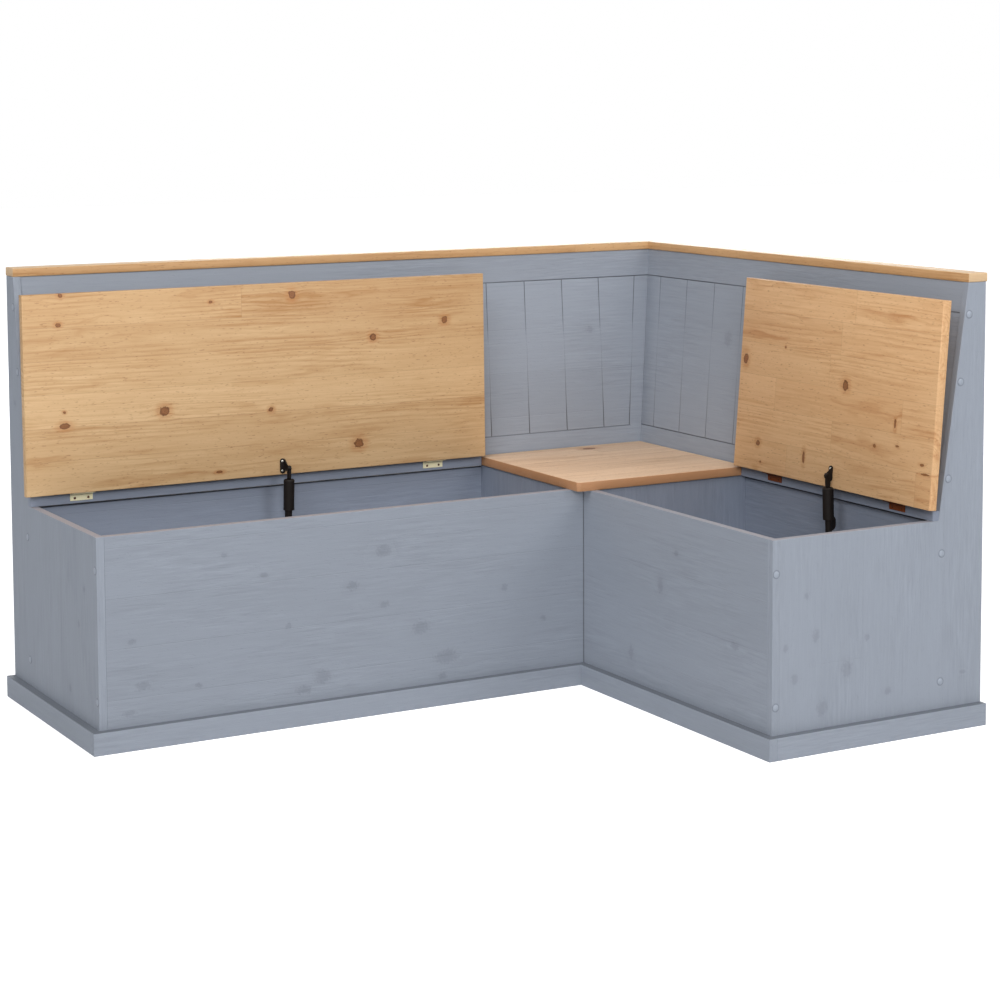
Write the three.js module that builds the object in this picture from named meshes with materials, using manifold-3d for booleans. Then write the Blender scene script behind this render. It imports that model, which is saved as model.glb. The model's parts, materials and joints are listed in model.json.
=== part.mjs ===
// Corner storage bench: two chests with hinged lids, which meet at a fixed corner seat, and two inclined
// backrests. Millimetres, +Z up. The origin is on the floor under the middle of the whole bench.
// The long leg runs along X and the short leg along Y. Their outer back corner is at +X, +Y, and the room
// is towards -X, -Y. The lids stand open, as they are at rest.
import * as THREE from "three";
import { ConvexGeometry } from "three/addons/geometries/ConvexGeometry.js";
import { mergeVertices } from "three/addons/utils/BufferGeometryUtils.js";
import Module from "manifold-3d";

const wasm = await Module();
wasm.setup();

// Driving dimensions of the bench
const longLegLength = 1586; // outer back corner to the outer face of the end panel
const shortLegLength = 1182;
const chestDepth = 507; // back plane to the front face
const rimHeight = 416; // top of the chest panels
const totalHeight = 896;
const panelThickness = 16;
const seatThickness = 20; // lids, corner seat and hinge strips
const seatOverhang = 34; // lids and corner seat beyond the front face

// Backrests, posts and caps
const capThickness = 18;
const capFrontDepth = 43.5; // back plane to the front edge of the cap
const capOverhang = 3; // beyond the back plane
const postTopDepth = 43.5;
const postFootDepth = 111.5; // at the height of the rim
const backrestThickness = 16;
const backrestRecess = 3; // backrest face behind the front edges of the posts
const backWallDepth = 95; // back plane to the back face of the lower back wall
const backWallDrop = 4; // top of the lower back wall under the rim

// Grooves milled into the backrests
const grooveWidth = 3;
const grooveDepth = 2; // of the two level grooves
const uprightGrooveDepth = 1.6;
const upperGrooveDrop = 60; // under the cap
const lowerGrooveRise = 58; // over the rim
const longGrooveFirst = 87; // outer back corner to the first upright groove, at its top
const longGroovePitch = 99.5;
const shortGrooveFirst = 105;
const shortGroovePitch = 110.5;
const longGrooveLeanShare = 0.3; // lean of the later grooves of the long leg, as a share of the corner's
const longFirstGrooveLeanShare = 0.9;

// Plinth, dividers and floors
const plinthThickness = 18;
const plinthHeight = 44;
const dividerInset = 6; // divider face behind the edge of the corner seat
const floorThickness = 12;
const floorGrooveDepth = 6;
const cornerChamfer = 6; // at the front corner of the corner seat

// Lids
const longLidAngle = 91; // degrees from closed to open
const shortLidAngle = 94.5;
const lidEndOverhang = 15; // beyond the end panel
const lidSeatGap = 3; // between a lid and the corner seat
const lidRestGap = 0.6; // between a closed lid and the rim
const edgeRadius = 2; // on the edges of the lids, the corner seat and the caps

// Hinges
const hingeStripDepth = 15;
const hingeGap = 6.4; // between the hinge strip and the back edge of a closed lid
const hingeLength = 48;
const hingeInset = 122; // end of the lid to the middle of the hinge
const leafHeight = 15;
const leafThickness = 1.6;
const knuckleRadius = 2.8;
const knuckleLength = 15; // of each of the two outer knuckles
const hingePinRadius = 1.2;

// Lid stays
const longStaySetback = 486; // inner end of the lid to the axis of the stay
const shortStaySetback = 351;
const longStayPivotAlong = 18; // hinge pin to the upper pivot, along the lid
const shortStayPivotAlong = 29;
const stayPivotDrop = 15; // upper pivot under the lid's lower face
const stayPlateWidth = 12;
const stayPlateLength = 32;
const stayPlateReach = 12; // near end of the plate to the upper pivot, along the lid
const staySheet = 2; // thickness of the bracket sheet
const stayLugRadius = 6;
const stayPivotRadius = 2;
const stayHeadThickness = 1; // of the rivet's head
const stayHeadRadius = 4;
const stayFlangeInset = 2; // flange behind the far end of the plate
const stayArmWidth = 10;
const stayArmThickness = 5;
const stayArmLength = 24; // upper pivot to the top of the sleeve
const sleeveRadius = 11.5;
const sleeveBoreRadius = 7.5;
const sleeveLength = 66;
const sleeveCap = 3;
const sleeveChamfer = 2; // round the top of the sleeve
const sleeveLugThickness = 3;
const sleeveLugRadius = 12;
const sleeveLugShift = 5.5; // towards the back wall
const sleeveLugStart = 4; // upper centre of the lug under the sleeve
const sleeveLugDrop = 12; // lower centre of the lug under the sleeve
const plungerRadius = 7;
const plungerTongueThickness = 4;
const plungerTongueWidth = 13;
const plungerTongueRoot = 2; // tongue inside the round shaft
const plungerNeck = 22; // lower pivot to the round shaft
const plungerEyeRadius = 9;
const plungerPinRadius = 3;
const plungerPinOverhang = 2; // beyond the ears of the base bracket
const stayBaseHeight = 270; // floor to the lower pivot, with the lid closed
const stayPinRise = 10; // of the lower pivot in its slot, as the lid opens
const stayBaseDepth = 156; // back plane to the lower pivot
const stayBaseWidth = 36;
const stayBaseTall = 44;
const stayEarThickness = 2.5;
const stayEarWall = 5; // material round the slot

// Screw plugs
const plugRadius = 7;
const plugDome = 1.6;
const plugStemRadius = 2.5;
const plugStemLength = 5;
const wallPlugDrop = 65; // under the rim
const wallPlugRise = 97; // over the floor
const plugDomeShares = [0.25, 0.5, 0.75]; // of the dome's quarter turn
const backrestPlugShares = [0.134, 0.418, 0.825]; // of the backrest's height, down from the cap

// Clearances
const runningGap = 0.3; // between pieces that turn or slide on each other, and behind bevelled pieces
const sideGap = 0.5; // between pieces side by side
const mitreGap = 0.2; // half of the gap in a mitre, along the leg
const fixingGap = 0.3; // behind the hinge leaves and under the stay brackets on the lids
const overrun = 2; // by which cutting shapes pass the faces they cut
const mergeTolerance = 1e-4;

// Sides of round shapes
const finePinSides = 16;
const pinSides = 20;
const plugSides = 18;
const shaftSides = 24;
const sleeveSides = 28;

// Colours
const paint = new THREE.Color(0x8b929e);
const paintDark = new THREE.Color(0x6f7682);
const pine = new THREE.Color(0xc9a06c);
const brass = new THREE.Color(0xb8975a);
const black = new THREE.Color(0x1d1815);

// Values worked out from the dimensions
const capUnderside = totalHeight - capThickness;
const seatTop = rimHeight + seatThickness;
const backHeight = capUnderside - rimHeight;
const leanSlope = (postFootDepth - postTopDepth) / backHeight;
const backLean = Math.atan(leanSlope);
const seatEdge = chestDepth + seatOverhang;
const backWallFace = backWallDepth + panelThickness;
const frontInner = chestDepth - panelThickness;
const stripFront = postFootDepth + hingeStripDepth;
const pinDepth = stripFront + hingeGap / 2;
const pinHeight = seatTop + lidRestGap;
const lidWidth = seatEdge - pinDepth - hingeGap / 2;
const lidInnerEnd = seatEdge + lidSeatGap;
const dividerOuter = seatEdge - dividerInset;
const dividerInner = dividerOuter - panelThickness;

// Depth of the posts' front edges and of the backrest's face at a height
const postDepthAt = (z) => postTopDepth + (capUnderside - z) * leanSlope;
const faceDepthAt = (z) => postDepthAt(z) - backrestRecess;
const backDepthAt = (z) => faceDepthAt(z) - backrestThickness / Math.cos(backLean);

// Each leg's own frame: X along the leg, Y from the back plane to the room, Z up.
// A length s from the outer corner lies at X = hand * s.
const legs = [
  {
    name: "long",
    hand: 1,
    turn: Math.PI,
    length: longLegLength,
    lidAngle: longLidAngle,
    staySetback: longStaySetback,
    stayPivotAlong: longStayPivotAlong,
    grooveFirst: longGrooveFirst,
    groovePitch: longGroovePitch,
    lowerGrooveToCorner: false,
  },
  {
    name: "short",
    hand: -1,
    turn: Math.PI / 2,
    length: shortLegLength,
    lidAngle: shortLidAngle,
    staySetback: shortStaySetback,
    stayPivotAlong: shortStayPivotAlong,
    grooveFirst: shortGrooveFirst,
    groovePitch: shortGroovePitch,
    lowerGrooveToCorner: true,
  },
];

// Materials
function finish(color, roughness, metalness) {
  return new THREE.MeshStandardMaterial({ color, roughness, metalness });
}

const painted = finish(paint, 0.6, 0);
const paintedInside = finish(paintDark, 0.7, 0);
const natural = finish(pine, 0.5, 0);
const brassFinish = finish(brass, 0.35, 1);
const blackFinish = finish(black, 0.45, 0.4);

// Solids for joining and cutting
function toSolid(geometry) {
  const plain = geometry.clone();
  plain.deleteAttribute("normal");
  plain.deleteAttribute("uv");
  const merged = mergeVertices(plain, mergeTolerance);
  return new wasm.Manifold(
    new wasm.Mesh({
      numProp: 3,
      vertProperties: merged.attributes.position.array,
      triVerts: new Uint32Array(merged.index.array),
    }),
  );
}

function toGeometry(solid) {
  const mesh = solid.getMesh();
  const geometry = new THREE.BufferGeometry();
  geometry.setAttribute("position", new THREE.BufferAttribute(mesh.vertProperties, 3));
  geometry.setIndex(new THREE.BufferAttribute(mesh.triVerts, 1));
  geometry.computeVertexNormals();
  return geometry;
}

const join = (...parts) => toGeometry(parts.map(toSolid).reduce((a, b) => a.add(b)));

function cut(body, ...tools) {
  return toGeometry(tools.map(toSolid).reduce((a, b) => a.subtract(b), toSolid(body)));
}

// Geometry makers
function block(x0, x1, y0, y1, z0, z1) {
  const box = new THREE.BoxGeometry(Math.abs(x1 - x0), y1 - y0, z1 - z0);
  return box.translate((x0 + x1) / 2, (y0 + y1) / 2, (z0 + z1) / 2);
}

function outline(points) {
  const shape = new THREE.Shape();
  points.forEach(([x, y], i) => (i ? shape.lineTo(x, y) : shape.moveTo(x, y)));
  shape.closePath();
  return shape;
}

// A shape drawn in depth and height, run along the leg from x0 to x1
function alongLeg(shape, x0, x1) {
  const geometry = new THREE.ExtrudeGeometry(shape, { depth: Math.abs(x1 - x0), bevelEnabled: false });
  const turn = new THREE.Matrix4().makeBasis(
    new THREE.Vector3(0, 1, 0),
    new THREE.Vector3(0, 0, 1),
    new THREE.Vector3(1, 0, 0),
  );
  return geometry.applyMatrix4(turn).translate(Math.min(x0, x1), 0, 0);
}

// A flat board drawn in plan, with its edges rounded
function board(points, bottom, thickness) {
  const geometry = new THREE.ExtrudeGeometry(outline(points), {
    depth: thickness - 2 * edgeRadius,
    bevelEnabled: true,
    bevelThickness: edgeRadius,
    bevelSize: edgeRadius,
    bevelOffset: -edgeRadius,
    bevelSegments: 2,
  });
  return geometry.translate(0, 0, bottom + edgeRadius);
}

// A cylinder whose axis lies along the leg
function rod(radius, x0, x1, y, z, sides = pinSides) {
  const geometry = new THREE.CylinderGeometry(radius, radius, Math.abs(x1 - x0), sides);
  return geometry.rotateZ(Math.PI / 2).translate((x0 + x1) / 2, y, z);
}

// A closed half-round ended bar in depth and height, between two centres
function slotShape(y0, z0, y1, z1, radius) {
  const angle = Math.atan2(z1 - z0, y1 - y0);
  const shape = new THREE.Shape();
  shape.absarc(y1, z1, radius, angle - Math.PI / 2, angle + Math.PI / 2, false);
  shape.absarc(y0, z0, radius, angle + Math.PI / 2, angle + 1.5 * Math.PI, false);
  shape.closePath();
  return shape;
}

function named(name, geometry, material) {
  const mesh = new THREE.Mesh(geometry, material);
  mesh.name = name;
  return mesh;
}

// Chest panels
function endPanel(leg, plugs) {
  const profile = outline([
    [0, 0],
    [chestDepth, 0],
    [chestDepth, rimHeight],
    [postFootDepth, rimHeight],
    [postTopDepth, capUnderside],
    [0, capUnderside],
  ]);
  const outer = leg.hand * leg.length;
  const inner = leg.hand * (leg.length - panelThickness);
  const boreEnd = leg.hand * (leg.length - plugStemLength - sideGap);
  const past = leg.hand * (leg.length + overrun);
  const bore = ([y, z]) => rod(plugStemRadius + runningGap, boreEnd, past, y, z, finePinSides);
  return named(`end_panel_${leg.name}`, cut(alongLeg(profile, inner, outer), ...plugs.map(bore)), painted);
}

// Upright panel along the leg, with a groove for the floor on the side towards groovedFace
function groovedPanel(y0, y1, groovedFace, x0, x1, top) {
  const deep = groovedFace === y1 ? y1 - floorGrooveDepth : y0 + floorGrooveDepth;
  const low = plinthHeight - runningGap;
  const high = plinthHeight + floorThickness + runningGap;
  const plainFace = groovedFace === y1 ? y0 : y1;
  const profile = outline([
    [plainFace, 0],
    [groovedFace, 0],
    [groovedFace, low],
    [deep, low],
    [deep, high],
    [groovedFace, high],
    [groovedFace, top],
    [plainFace, top],
  ]);
  return alongLeg(profile, x0, x1);
}

function frontPanel(leg) {
  const start = leg.hand * (leg.name === "long" ? frontInner : chestDepth);
  const end = leg.hand * (leg.length - panelThickness);
  const geometry = groovedPanel(frontInner, chestDepth, frontInner, start, end, rimHeight);
  return named(`front_panel_${leg.name}`, geometry, painted);
}

function backWall(leg) {
  const start = leg.hand * (leg.name === "long" ? backWallDepth : backWallFace);
  const end = leg.hand * (leg.length - panelThickness);
  const top = rimHeight - backWallDrop;
  const geometry = groovedPanel(backWallDepth, backWallFace, backWallFace, start, end, top);
  return named(`back_wall_${leg.name}`, geometry, paintedInside);
}

function divider(leg) {
  const inner = leg.hand * dividerInner;
  const outer = leg.hand * dividerOuter;
  const geometry = block(inner, outer, backWallFace, frontInner, 0, rimHeight);
  return named(`divider_${leg.name}`, geometry, paintedInside);
}

function chestFloor(leg) {
  const reach = floorGrooveDepth - runningGap;
  const geometry = block(
    leg.hand * (dividerOuter + runningGap),
    leg.hand * (leg.length - panelThickness - runningGap),
    backWallFace - reach,
    frontInner + reach,
    plinthHeight,
    plinthHeight + floorThickness,
  );
  return named(`floor_${leg.name}`, geometry, paintedInside);
}

// Plinth boards: the long front board covers the end of the left end board, and the short front board
// covers that of the right end board.
function plinths(leg) {
  const outer = leg.length + plinthThickness;
  const start = leg.name === "long" ? chestDepth : chestDepth + plinthThickness;
  const face = chestDepth + plinthThickness;
  const front = block(leg.hand * start, leg.hand * outer, chestDepth, face, 0, plinthHeight);
  const end = block(leg.hand * leg.length, leg.hand * outer, 0, chestDepth, 0, plinthHeight);
  return [named(`plinth_front_${leg.name}`, front, painted), named(`plinth_end_${leg.name}`, end, painted)];
}

// Backrest
// The distance that the corner edge of the backrests leans out between the two level grooves
const upperGrooveHeight = capUnderside - upperGrooveDrop;
const lowerGrooveHeight = rimHeight + lowerGrooveRise;
const cornerLean = (upperGrooveHeight - lowerGrooveHeight) * leanSlope;

function grooveLean(leg, index, top) {
  if (leg.name === "short") return cornerLean * (1 - top / leg.length);
  return cornerLean * (index ? longGrooveLeanShare : longFirstGrooveLeanShare);
}

// A cutter for one groove in the face of the backrest, between two places given as [s, height]
function grooveCutter(leg, from, to, deep) {
  const place = ([s, z]) => new THREE.Vector3(leg.hand * s, faceDepthAt(z), z);
  const start = place(from);
  const run = place(to).sub(start);
  const normal = new THREE.Vector3(0, Math.cos(backLean), Math.sin(backLean));
  const forward = run.clone().normalize();
  const side = new THREE.Vector3().crossVectors(normal, forward);
  const wide = (grooveWidth / 2) * (1 + overrun / deep);
  const section = outline([
    [-wide, overrun],
    [0, -deep],
    [wide, overrun],
  ]);
  const cutter = new THREE.ExtrudeGeometry(section, { depth: run.length(), bevelEnabled: false });
  return cutter.applyMatrix4(new THREE.Matrix4().makeBasis(side, normal, forward).setPosition(start));
}

function backrest(leg) {
  const end = leg.length - panelThickness;
  const corners = [rimHeight, capUnderside].flatMap((z) => [
    new THREE.Vector3(leg.hand * end, faceDepthAt(z), z),
    new THREE.Vector3(leg.hand * end, backDepthAt(z), z),
    new THREE.Vector3(leg.hand * (faceDepthAt(z) + mitreGap), faceDepthAt(z), z),
    new THREE.Vector3(leg.hand * (backDepthAt(z) + mitreGap), backDepthAt(z), z),
  ]);
  const tops = [];
  for (let top = leg.grooveFirst; top < end - leg.groovePitch / 2; top += leg.groovePitch) tops.push(top);
  const bottoms = tops.map((top, i) => top + grooveLean(leg, i, top));
  const past = end + overrun;
  const cutters = tops.map((top, i) =>
    grooveCutter(leg, [top, upperGrooveHeight], [bottoms[i], lowerGrooveHeight], uprightGrooveDepth),
  );
  const lowerStart = leg.lowerGrooveToCorner ? 0 : bottoms[0] - grooveWidth;
  cutters.push(grooveCutter(leg, [0, upperGrooveHeight], [past, upperGrooveHeight], grooveDepth));
  cutters.push(grooveCutter(leg, [lowerStart, lowerGrooveHeight], [past, lowerGrooveHeight], grooveDepth));
  return named(`backrest_${leg.name}`, cut(new ConvexGeometry(corners), ...cutters), painted);
}

// Strip that carries the hinges, bevelled behind to lie along the posts
function hingeStrip(leg) {
  const profile = outline([
    [postDepthAt(rimHeight) + runningGap, rimHeight],
    [stripFront, rimHeight],
    [stripFront, seatTop],
    [postDepthAt(seatTop) + runningGap, seatTop],
  ]);
  const geometry = alongLeg(profile, leg.hand * (seatEdge + sideGap), leg.hand * leg.length);
  return named(`hinge_strip_${leg.name}`, geometry, painted);
}

// Cap on the backrest, mitred at the corner
function cap(leg) {
  const end = leg.hand * leg.length;
  const points = [
    [end, -capOverhang],
    [end, capFrontDepth],
    [leg.hand * (capFrontDepth + mitreGap), capFrontDepth],
    [leg.hand * (mitreGap - capOverhang), -capOverhang],
  ];
  const turning = leg.hand > 0 ? points.reverse() : points;
  return named(`cap_${leg.name}`, board(turning, capUnderside, capThickness), natural);
}

// Corner seat, drawn in the frame of the long leg
function cornerSeat() {
  const back = faceDepthAt(rimHeight) + sideGap;
  const points = [
    [back, back],
    [seatEdge, back],
    [seatEdge, seatEdge - cornerChamfer],
    [seatEdge - cornerChamfer, seatEdge],
    [back, seatEdge],
  ];
  return named("corner_seat", board(points, rimHeight, seatThickness), natural);
}

// Screw plugs in the outer face of an end panel
function plugPlaces() {
  const backrestPlaces = backrestPlugShares.map((share) => {
    const z = capUnderside - share * backHeight;
    return [(faceDepthAt(z) + backDepthAt(z)) / 2, z];
  });
  const heights = [rimHeight - wallPlugDrop, wallPlugRise];
  const walls = [backWallDepth + panelThickness / 2, chestDepth - panelThickness / 2];
  return [...backrestPlaces, ...walls.flatMap((y) => heights.map((z) => [y, z]))];
}

function plug(leg, [y, z], index) {
  const dome = plugDomeShares.map((share) => {
    const angle = (share * Math.PI) / 2;
    return new THREE.Vector2(plugRadius * Math.cos(angle), plugDome * Math.sin(angle));
  });
  const profile = [
    new THREE.Vector2(0, -plugStemLength),
    new THREE.Vector2(plugStemRadius, -plugStemLength),
    new THREE.Vector2(plugStemRadius, 0),
    new THREE.Vector2(plugRadius, 0),
    ...dome,
    new THREE.Vector2(0, plugDome),
  ];
  const geometry = new THREE.LatheGeometry(profile, plugSides).rotateZ((-leg.hand * Math.PI) / 2);
  const mesh = named(`screw_plug_${leg.name}_${index + 1}`, geometry, painted);
  mesh.position.set(leg.hand * leg.length, y, z);
  return mesh;
}

// Hinges
// One leaf lies against a face that looks towards the pin, with its knuckles round the pin. side is -1 for
// the leaf on the hinge strip and 1 for the leaf on the lid, in the frame of the closed lid.
function hingeLeaf(middle, side, knuckles) {
  const back = side * (hingeGap / 2 - fixingGap);
  const face = back - side * leafThickness;
  const near = Math.min(back, face);
  const far = Math.max(back, face);
  const neckTop = -(knuckleRadius + sideGap);
  const plate = block(middle - hingeLength / 2, middle + hingeLength / 2, near, far, -leafHeight, neckTop);
  const parts = [plate];
  const holes = [];
  for (const [start, end] of knuckles) {
    parts.push(block(middle + start, middle + end, near, far, neckTop - leafThickness, 0));
    parts.push(block(middle + start, middle + end, Math.min(far, 0), Math.max(near, 0), -leafThickness, 0));
    parts.push(rod(knuckleRadius, middle + start, middle + end, 0, 0));
    const holeStart = middle + start - overrun;
    holes.push(rod(hingePinRadius + runningGap, holeStart, middle + end + overrun, 0, 0, finePinSides));
  }
  return cut(join(...parts), ...holes);
}

function hinges(leg, lidFrame) {
  const fixed = [];
  const lidEnd = leg.length + lidEndOverhang;
  const half = hingeLength / 2;
  const inner = half - knuckleLength;
  const outerKnuckles = [
    [-half, -inner],
    [inner, half],
  ];
  const middleKnuckle = [[-inner + sideGap, inner - sideGap]];
  [lidInnerEnd + hingeInset, lidEnd - hingeInset].forEach((s, i) => {
    const middle = leg.hand * s;
    const suffix = `${leg.name}_${i + 1}`;
    const onStrip = named(`hinge_leaf_strip_${suffix}`, hingeLeaf(middle, -1, outerKnuckles), brassFinish);
    onStrip.position.set(0, pinDepth, pinHeight);
    const pin = named(
      `hinge_pin_${suffix}`,
      rod(hingePinRadius, middle - half, middle + half, pinDepth, pinHeight, finePinSides),
      brassFinish,
    );
    fixed.push(onStrip, pin);
    lidFrame.add(named(`hinge_leaf_lid_${suffix}`, hingeLeaf(middle, 1, middleKnuckle), brassFinish));
  });
  return fixed;
}

// Lid, in the frame of the closed lid: Y from the pin to the room, Z up from the pin
function lid(leg) {
  const start = leg.hand * lidInnerEnd;
  const end = leg.hand * (leg.length + lidEndOverhang);
  const x0 = Math.min(start, end);
  const x1 = Math.max(start, end);
  const y0 = hingeGap / 2;
  const y1 = y0 + lidWidth;
  const points = [
    [x0, y0],
    [x1, y0],
    [x1, y1],
    [x0, y1],
  ];
  return named(`lid_${leg.name}`, board(points, -seatThickness, seatThickness), natural);
}

// Lid stays
// Height of the upper pivot in the frame of the closed lid, and its place in the leg's frame at a lid angle
const pivotZ = -seatThickness - stayPivotDrop;

function upperPivot(leg, angle) {
  return {
    y: pinDepth + leg.stayPivotAlong * Math.cos(angle) - pivotZ * Math.sin(angle),
    z: pinHeight + leg.stayPivotAlong * Math.sin(angle) + pivotZ * Math.cos(angle),
  };
}

// Tilt of the stay from upright and its length between the pivots, at a lid angle and a rise of the lower one
function stayAt(leg, angle, rise) {
  const upper = upperPivot(leg, angle);
  const y = upper.y - stayBaseDepth;
  const z = upper.z - stayBaseHeight - rise;
  return { tilt: Math.atan2(y, z), length: Math.hypot(y, z) };
}

// Where the lower pin travels when the stay turns and shortens evenly with the lid: the size of its slot
function pinTravel(leg, openAngle) {
  const open = stayAt(leg, openAngle, stayPinRise);
  const closed = stayAt(leg, 0, 0);
  const travel = { y0: 0, y1: 0, z0: 0, z1: 0 };
  const steps = 40;
  for (let i = 0; i <= steps; i++) {
    const share = i / steps;
    const tilt = open.tilt + (closed.tilt - open.tilt) * share;
    const length = open.length + (closed.length - open.length) * share;
    const upper = upperPivot(leg, openAngle * (1 - share));
    const y = upper.y - length * Math.sin(tilt) - stayBaseDepth;
    const z = upper.z - length * Math.cos(tilt) - stayBaseHeight;
    travel.y0 = Math.min(travel.y0, y);
    travel.y1 = Math.max(travel.y1, y);
    travel.z0 = Math.min(travel.z0, z);
    travel.z1 = Math.max(travel.z1, z);
  }
  return travel;
}

// Bracket on the lid, in the frame of the closed lid, with its rivet through the arm's eye
function stayLidBracket(leg, x) {
  const sheetStart = x + stayArmThickness / 2 + runningGap;
  const sheetEnd = sheetStart + staySheet;
  const under = -seatThickness - fixingGap;
  const pivotY = leg.stayPivotAlong;
  const plateStart = pivotY - stayPlateReach;
  const plateEnd = plateStart + stayPlateLength;
  const flangeEnd = plateEnd - stayFlangeInset;
  const round = stayPlateWidth / 2;
  const middle = sheetStart + round;
  const plateShape = slotShape(middle, plateStart + round, middle, plateEnd - round, round);
  const plate = new THREE.ExtrudeGeometry(plateShape, { depth: staySheet, bevelEnabled: false });
  plate.translate(0, 0, under - staySheet);
  const flange = new THREE.Shape();
  flange.moveTo(pivotY - stayLugRadius, under);
  flange.lineTo(pivotY - stayLugRadius, pivotZ);
  flange.absarc(pivotY, pivotZ, stayLugRadius, Math.PI, 2 * Math.PI, false);
  flange.lineTo(flangeEnd, under - staySheet);
  flange.lineTo(flangeEnd, under);
  flange.closePath();
  const headStart = x - stayArmThickness / 2 - runningGap - stayHeadThickness;
  const rivet = rod(stayPivotRadius, headStart, sheetEnd, pivotY, pivotZ, finePinSides);
  const head = rod(stayHeadRadius, headStart, headStart + stayHeadThickness, pivotY, pivotZ, finePinSides);
  const geometry = join(plate, alongLeg(flange, sheetStart, sheetEnd), rivet, head);
  return named(`stay_lid_bracket_${leg.name}`, geometry, blackFinish);
}

// Arm and sleeve in one, hanging from the upper pivot at the origin of its own frame
function staySleeve(leg) {
  const half = stayArmThickness / 2;
  const top = -stayArmLength;
  const bottom = top - sleeveLength;
  const armEnd = top - sleeveCap / 2;
  const arm = alongLeg(slotShape(0, 0, 0, armEnd + stayArmWidth / 2, stayArmWidth / 2), -half, half);
  const eye = rod(stayLugRadius, -half, half, 0, 0);
  const profile = [
    new THREE.Vector2(0, top - sleeveCap),
    new THREE.Vector2(sleeveBoreRadius, top - sleeveCap),
    new THREE.Vector2(sleeveBoreRadius, bottom),
    new THREE.Vector2(sleeveRadius, bottom),
    new THREE.Vector2(sleeveRadius, top - sleeveChamfer),
    new THREE.Vector2(sleeveRadius - sleeveChamfer, top),
    new THREE.Vector2(0, top),
  ];
  const tube = new THREE.LatheGeometry(profile, sleeveSides).rotateX(Math.PI / 2);
  const lugTop = bottom - sleeveLugStart;
  const lugLow = bottom - sleeveLugDrop;
  const lugShape = slotShape(-sleeveLugShift, lugTop, -sleeveLugShift, lugLow, sleeveLugRadius);
  const lug = alongLeg(lugShape, -sleeveLugThickness / 2, sleeveLugThickness / 2);
  const spaceLength = lugTop - lugLow + 2 * (sleeveLugRadius + overrun);
  const space = new THREE.CylinderGeometry(sleeveBoreRadius, sleeveBoreRadius, spaceLength, sleeveSides);
  space.rotateX(Math.PI / 2).translate(0, 0, (lugTop + lugLow) / 2);
  const hole = rod(stayPivotRadius + runningGap, -half - overrun, half + overrun, 0, 0, finePinSides);
  const geometry = cut(join(arm, eye, tube, lug), hole, space);
  return named(`stay_sleeve_${leg.name}`, geometry, blackFinish);
}

// Plunger, whose cross pin at its lower end rides in the slots of the base bracket
function stayPlunger(leg, length, stroke) {
  const boreTop = -stayArmLength - sleeveCap;
  const top = boreTop - stroke - sideGap;
  const foot = -length;
  const neck = foot + plungerNeck;
  const shaft = new THREE.CylinderGeometry(plungerRadius, plungerRadius, top - neck, shaftSides);
  shaft.rotateX(Math.PI / 2).translate(0, 0, (top + neck) / 2);
  const half = plungerTongueThickness / 2;
  const tongueShape = slotShape(0, neck + plungerTongueRoot, 0, foot, plungerTongueWidth / 2);
  const tongue = alongLeg(tongueShape, -half, half);
  const eye = rod(plungerEyeRadius, -half, half, 0, foot);
  const reach = half + sideGap + stayEarThickness + plungerPinOverhang;
  const pin = rod(plungerPinRadius, -reach, reach, 0, foot);
  return named(`stay_plunger_${leg.name}`, join(shaft, tongue, eye, pin), blackFinish);
}

// Bracket on the back wall, with a slot in each ear
function stayBaseBracket(leg, x, openAngle) {
  const travel = pinTravel(leg, openAngle);
  const slack = plungerPinRadius + 2 * runningGap;
  const y0 = stayBaseDepth + travel.y0 - slack;
  const y1 = stayBaseDepth + travel.y1 + slack;
  const z0 = stayBaseHeight + travel.z0 - slack;
  const z1 = stayBaseHeight + travel.z1 + slack;
  const plateFace = backWallFace + stayEarThickness;
  const plateMiddle = stayBaseHeight + stayPinRise / 2;
  const plate = block(
    x - stayBaseWidth / 2,
    x + stayBaseWidth / 2,
    backWallFace,
    plateFace,
    plateMiddle - stayBaseTall / 2,
    plateMiddle + stayBaseTall / 2,
  );
  const parts = [plate];
  const slots = [];
  const clear = plungerTongueThickness / 2 + sideGap;
  for (const start of [x - clear - stayEarThickness, x + clear]) {
    const end = start + stayEarThickness;
    const ear = block(start, end, backWallFace, y1 + stayEarWall, z0 - stayEarWall, z1 + stayEarWall);
    parts.push(ear);
    slots.push(block(start - overrun, end + overrun, y0, y1, z0, z1));
  }
  return named(`stay_base_bracket_${leg.name}`, cut(join(...parts), ...slots), blackFinish);
}

function stay(leg, lidFrame, openAngle) {
  const x = leg.hand * (lidInnerEnd + leg.staySetback);
  lidFrame.add(stayLidBracket(leg, x));
  const open = stayAt(leg, openAngle, stayPinRise);
  const closed = stayAt(leg, 0, 0);
  const upper = upperPivot(leg, openAngle);
  const frame = new THREE.Group();
  frame.position.set(x, upper.y, upper.z);
  frame.rotation.x = -open.tilt;
  frame.add(staySleeve(leg), stayPlunger(leg, open.length, open.length - closed.length));
  return [stayBaseBracket(leg, x, openAngle), frame];
}

// Assembly
function buildLeg(leg) {
  const group = new THREE.Group();
  group.rotation.z = leg.turn;
  const places = plugPlaces();
  group.add(endPanel(leg, places), frontPanel(leg), backWall(leg), divider(leg), chestFloor(leg));
  group.add(...plinths(leg), backrest(leg), hingeStrip(leg), cap(leg));
  places.forEach((place, i) => group.add(plug(leg, place, i)));
  const openAngle = THREE.MathUtils.degToRad(leg.lidAngle);
  const lidFrame = new THREE.Group();
  lidFrame.position.set(0, pinDepth, pinHeight);
  lidFrame.rotation.x = openAngle;
  lidFrame.add(lid(leg));
  group.add(lidFrame, ...hinges(leg, lidFrame), ...stay(leg, lidFrame, openAngle));
  if (leg.name === "long") group.add(cornerSeat());
  return group;
}

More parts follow.
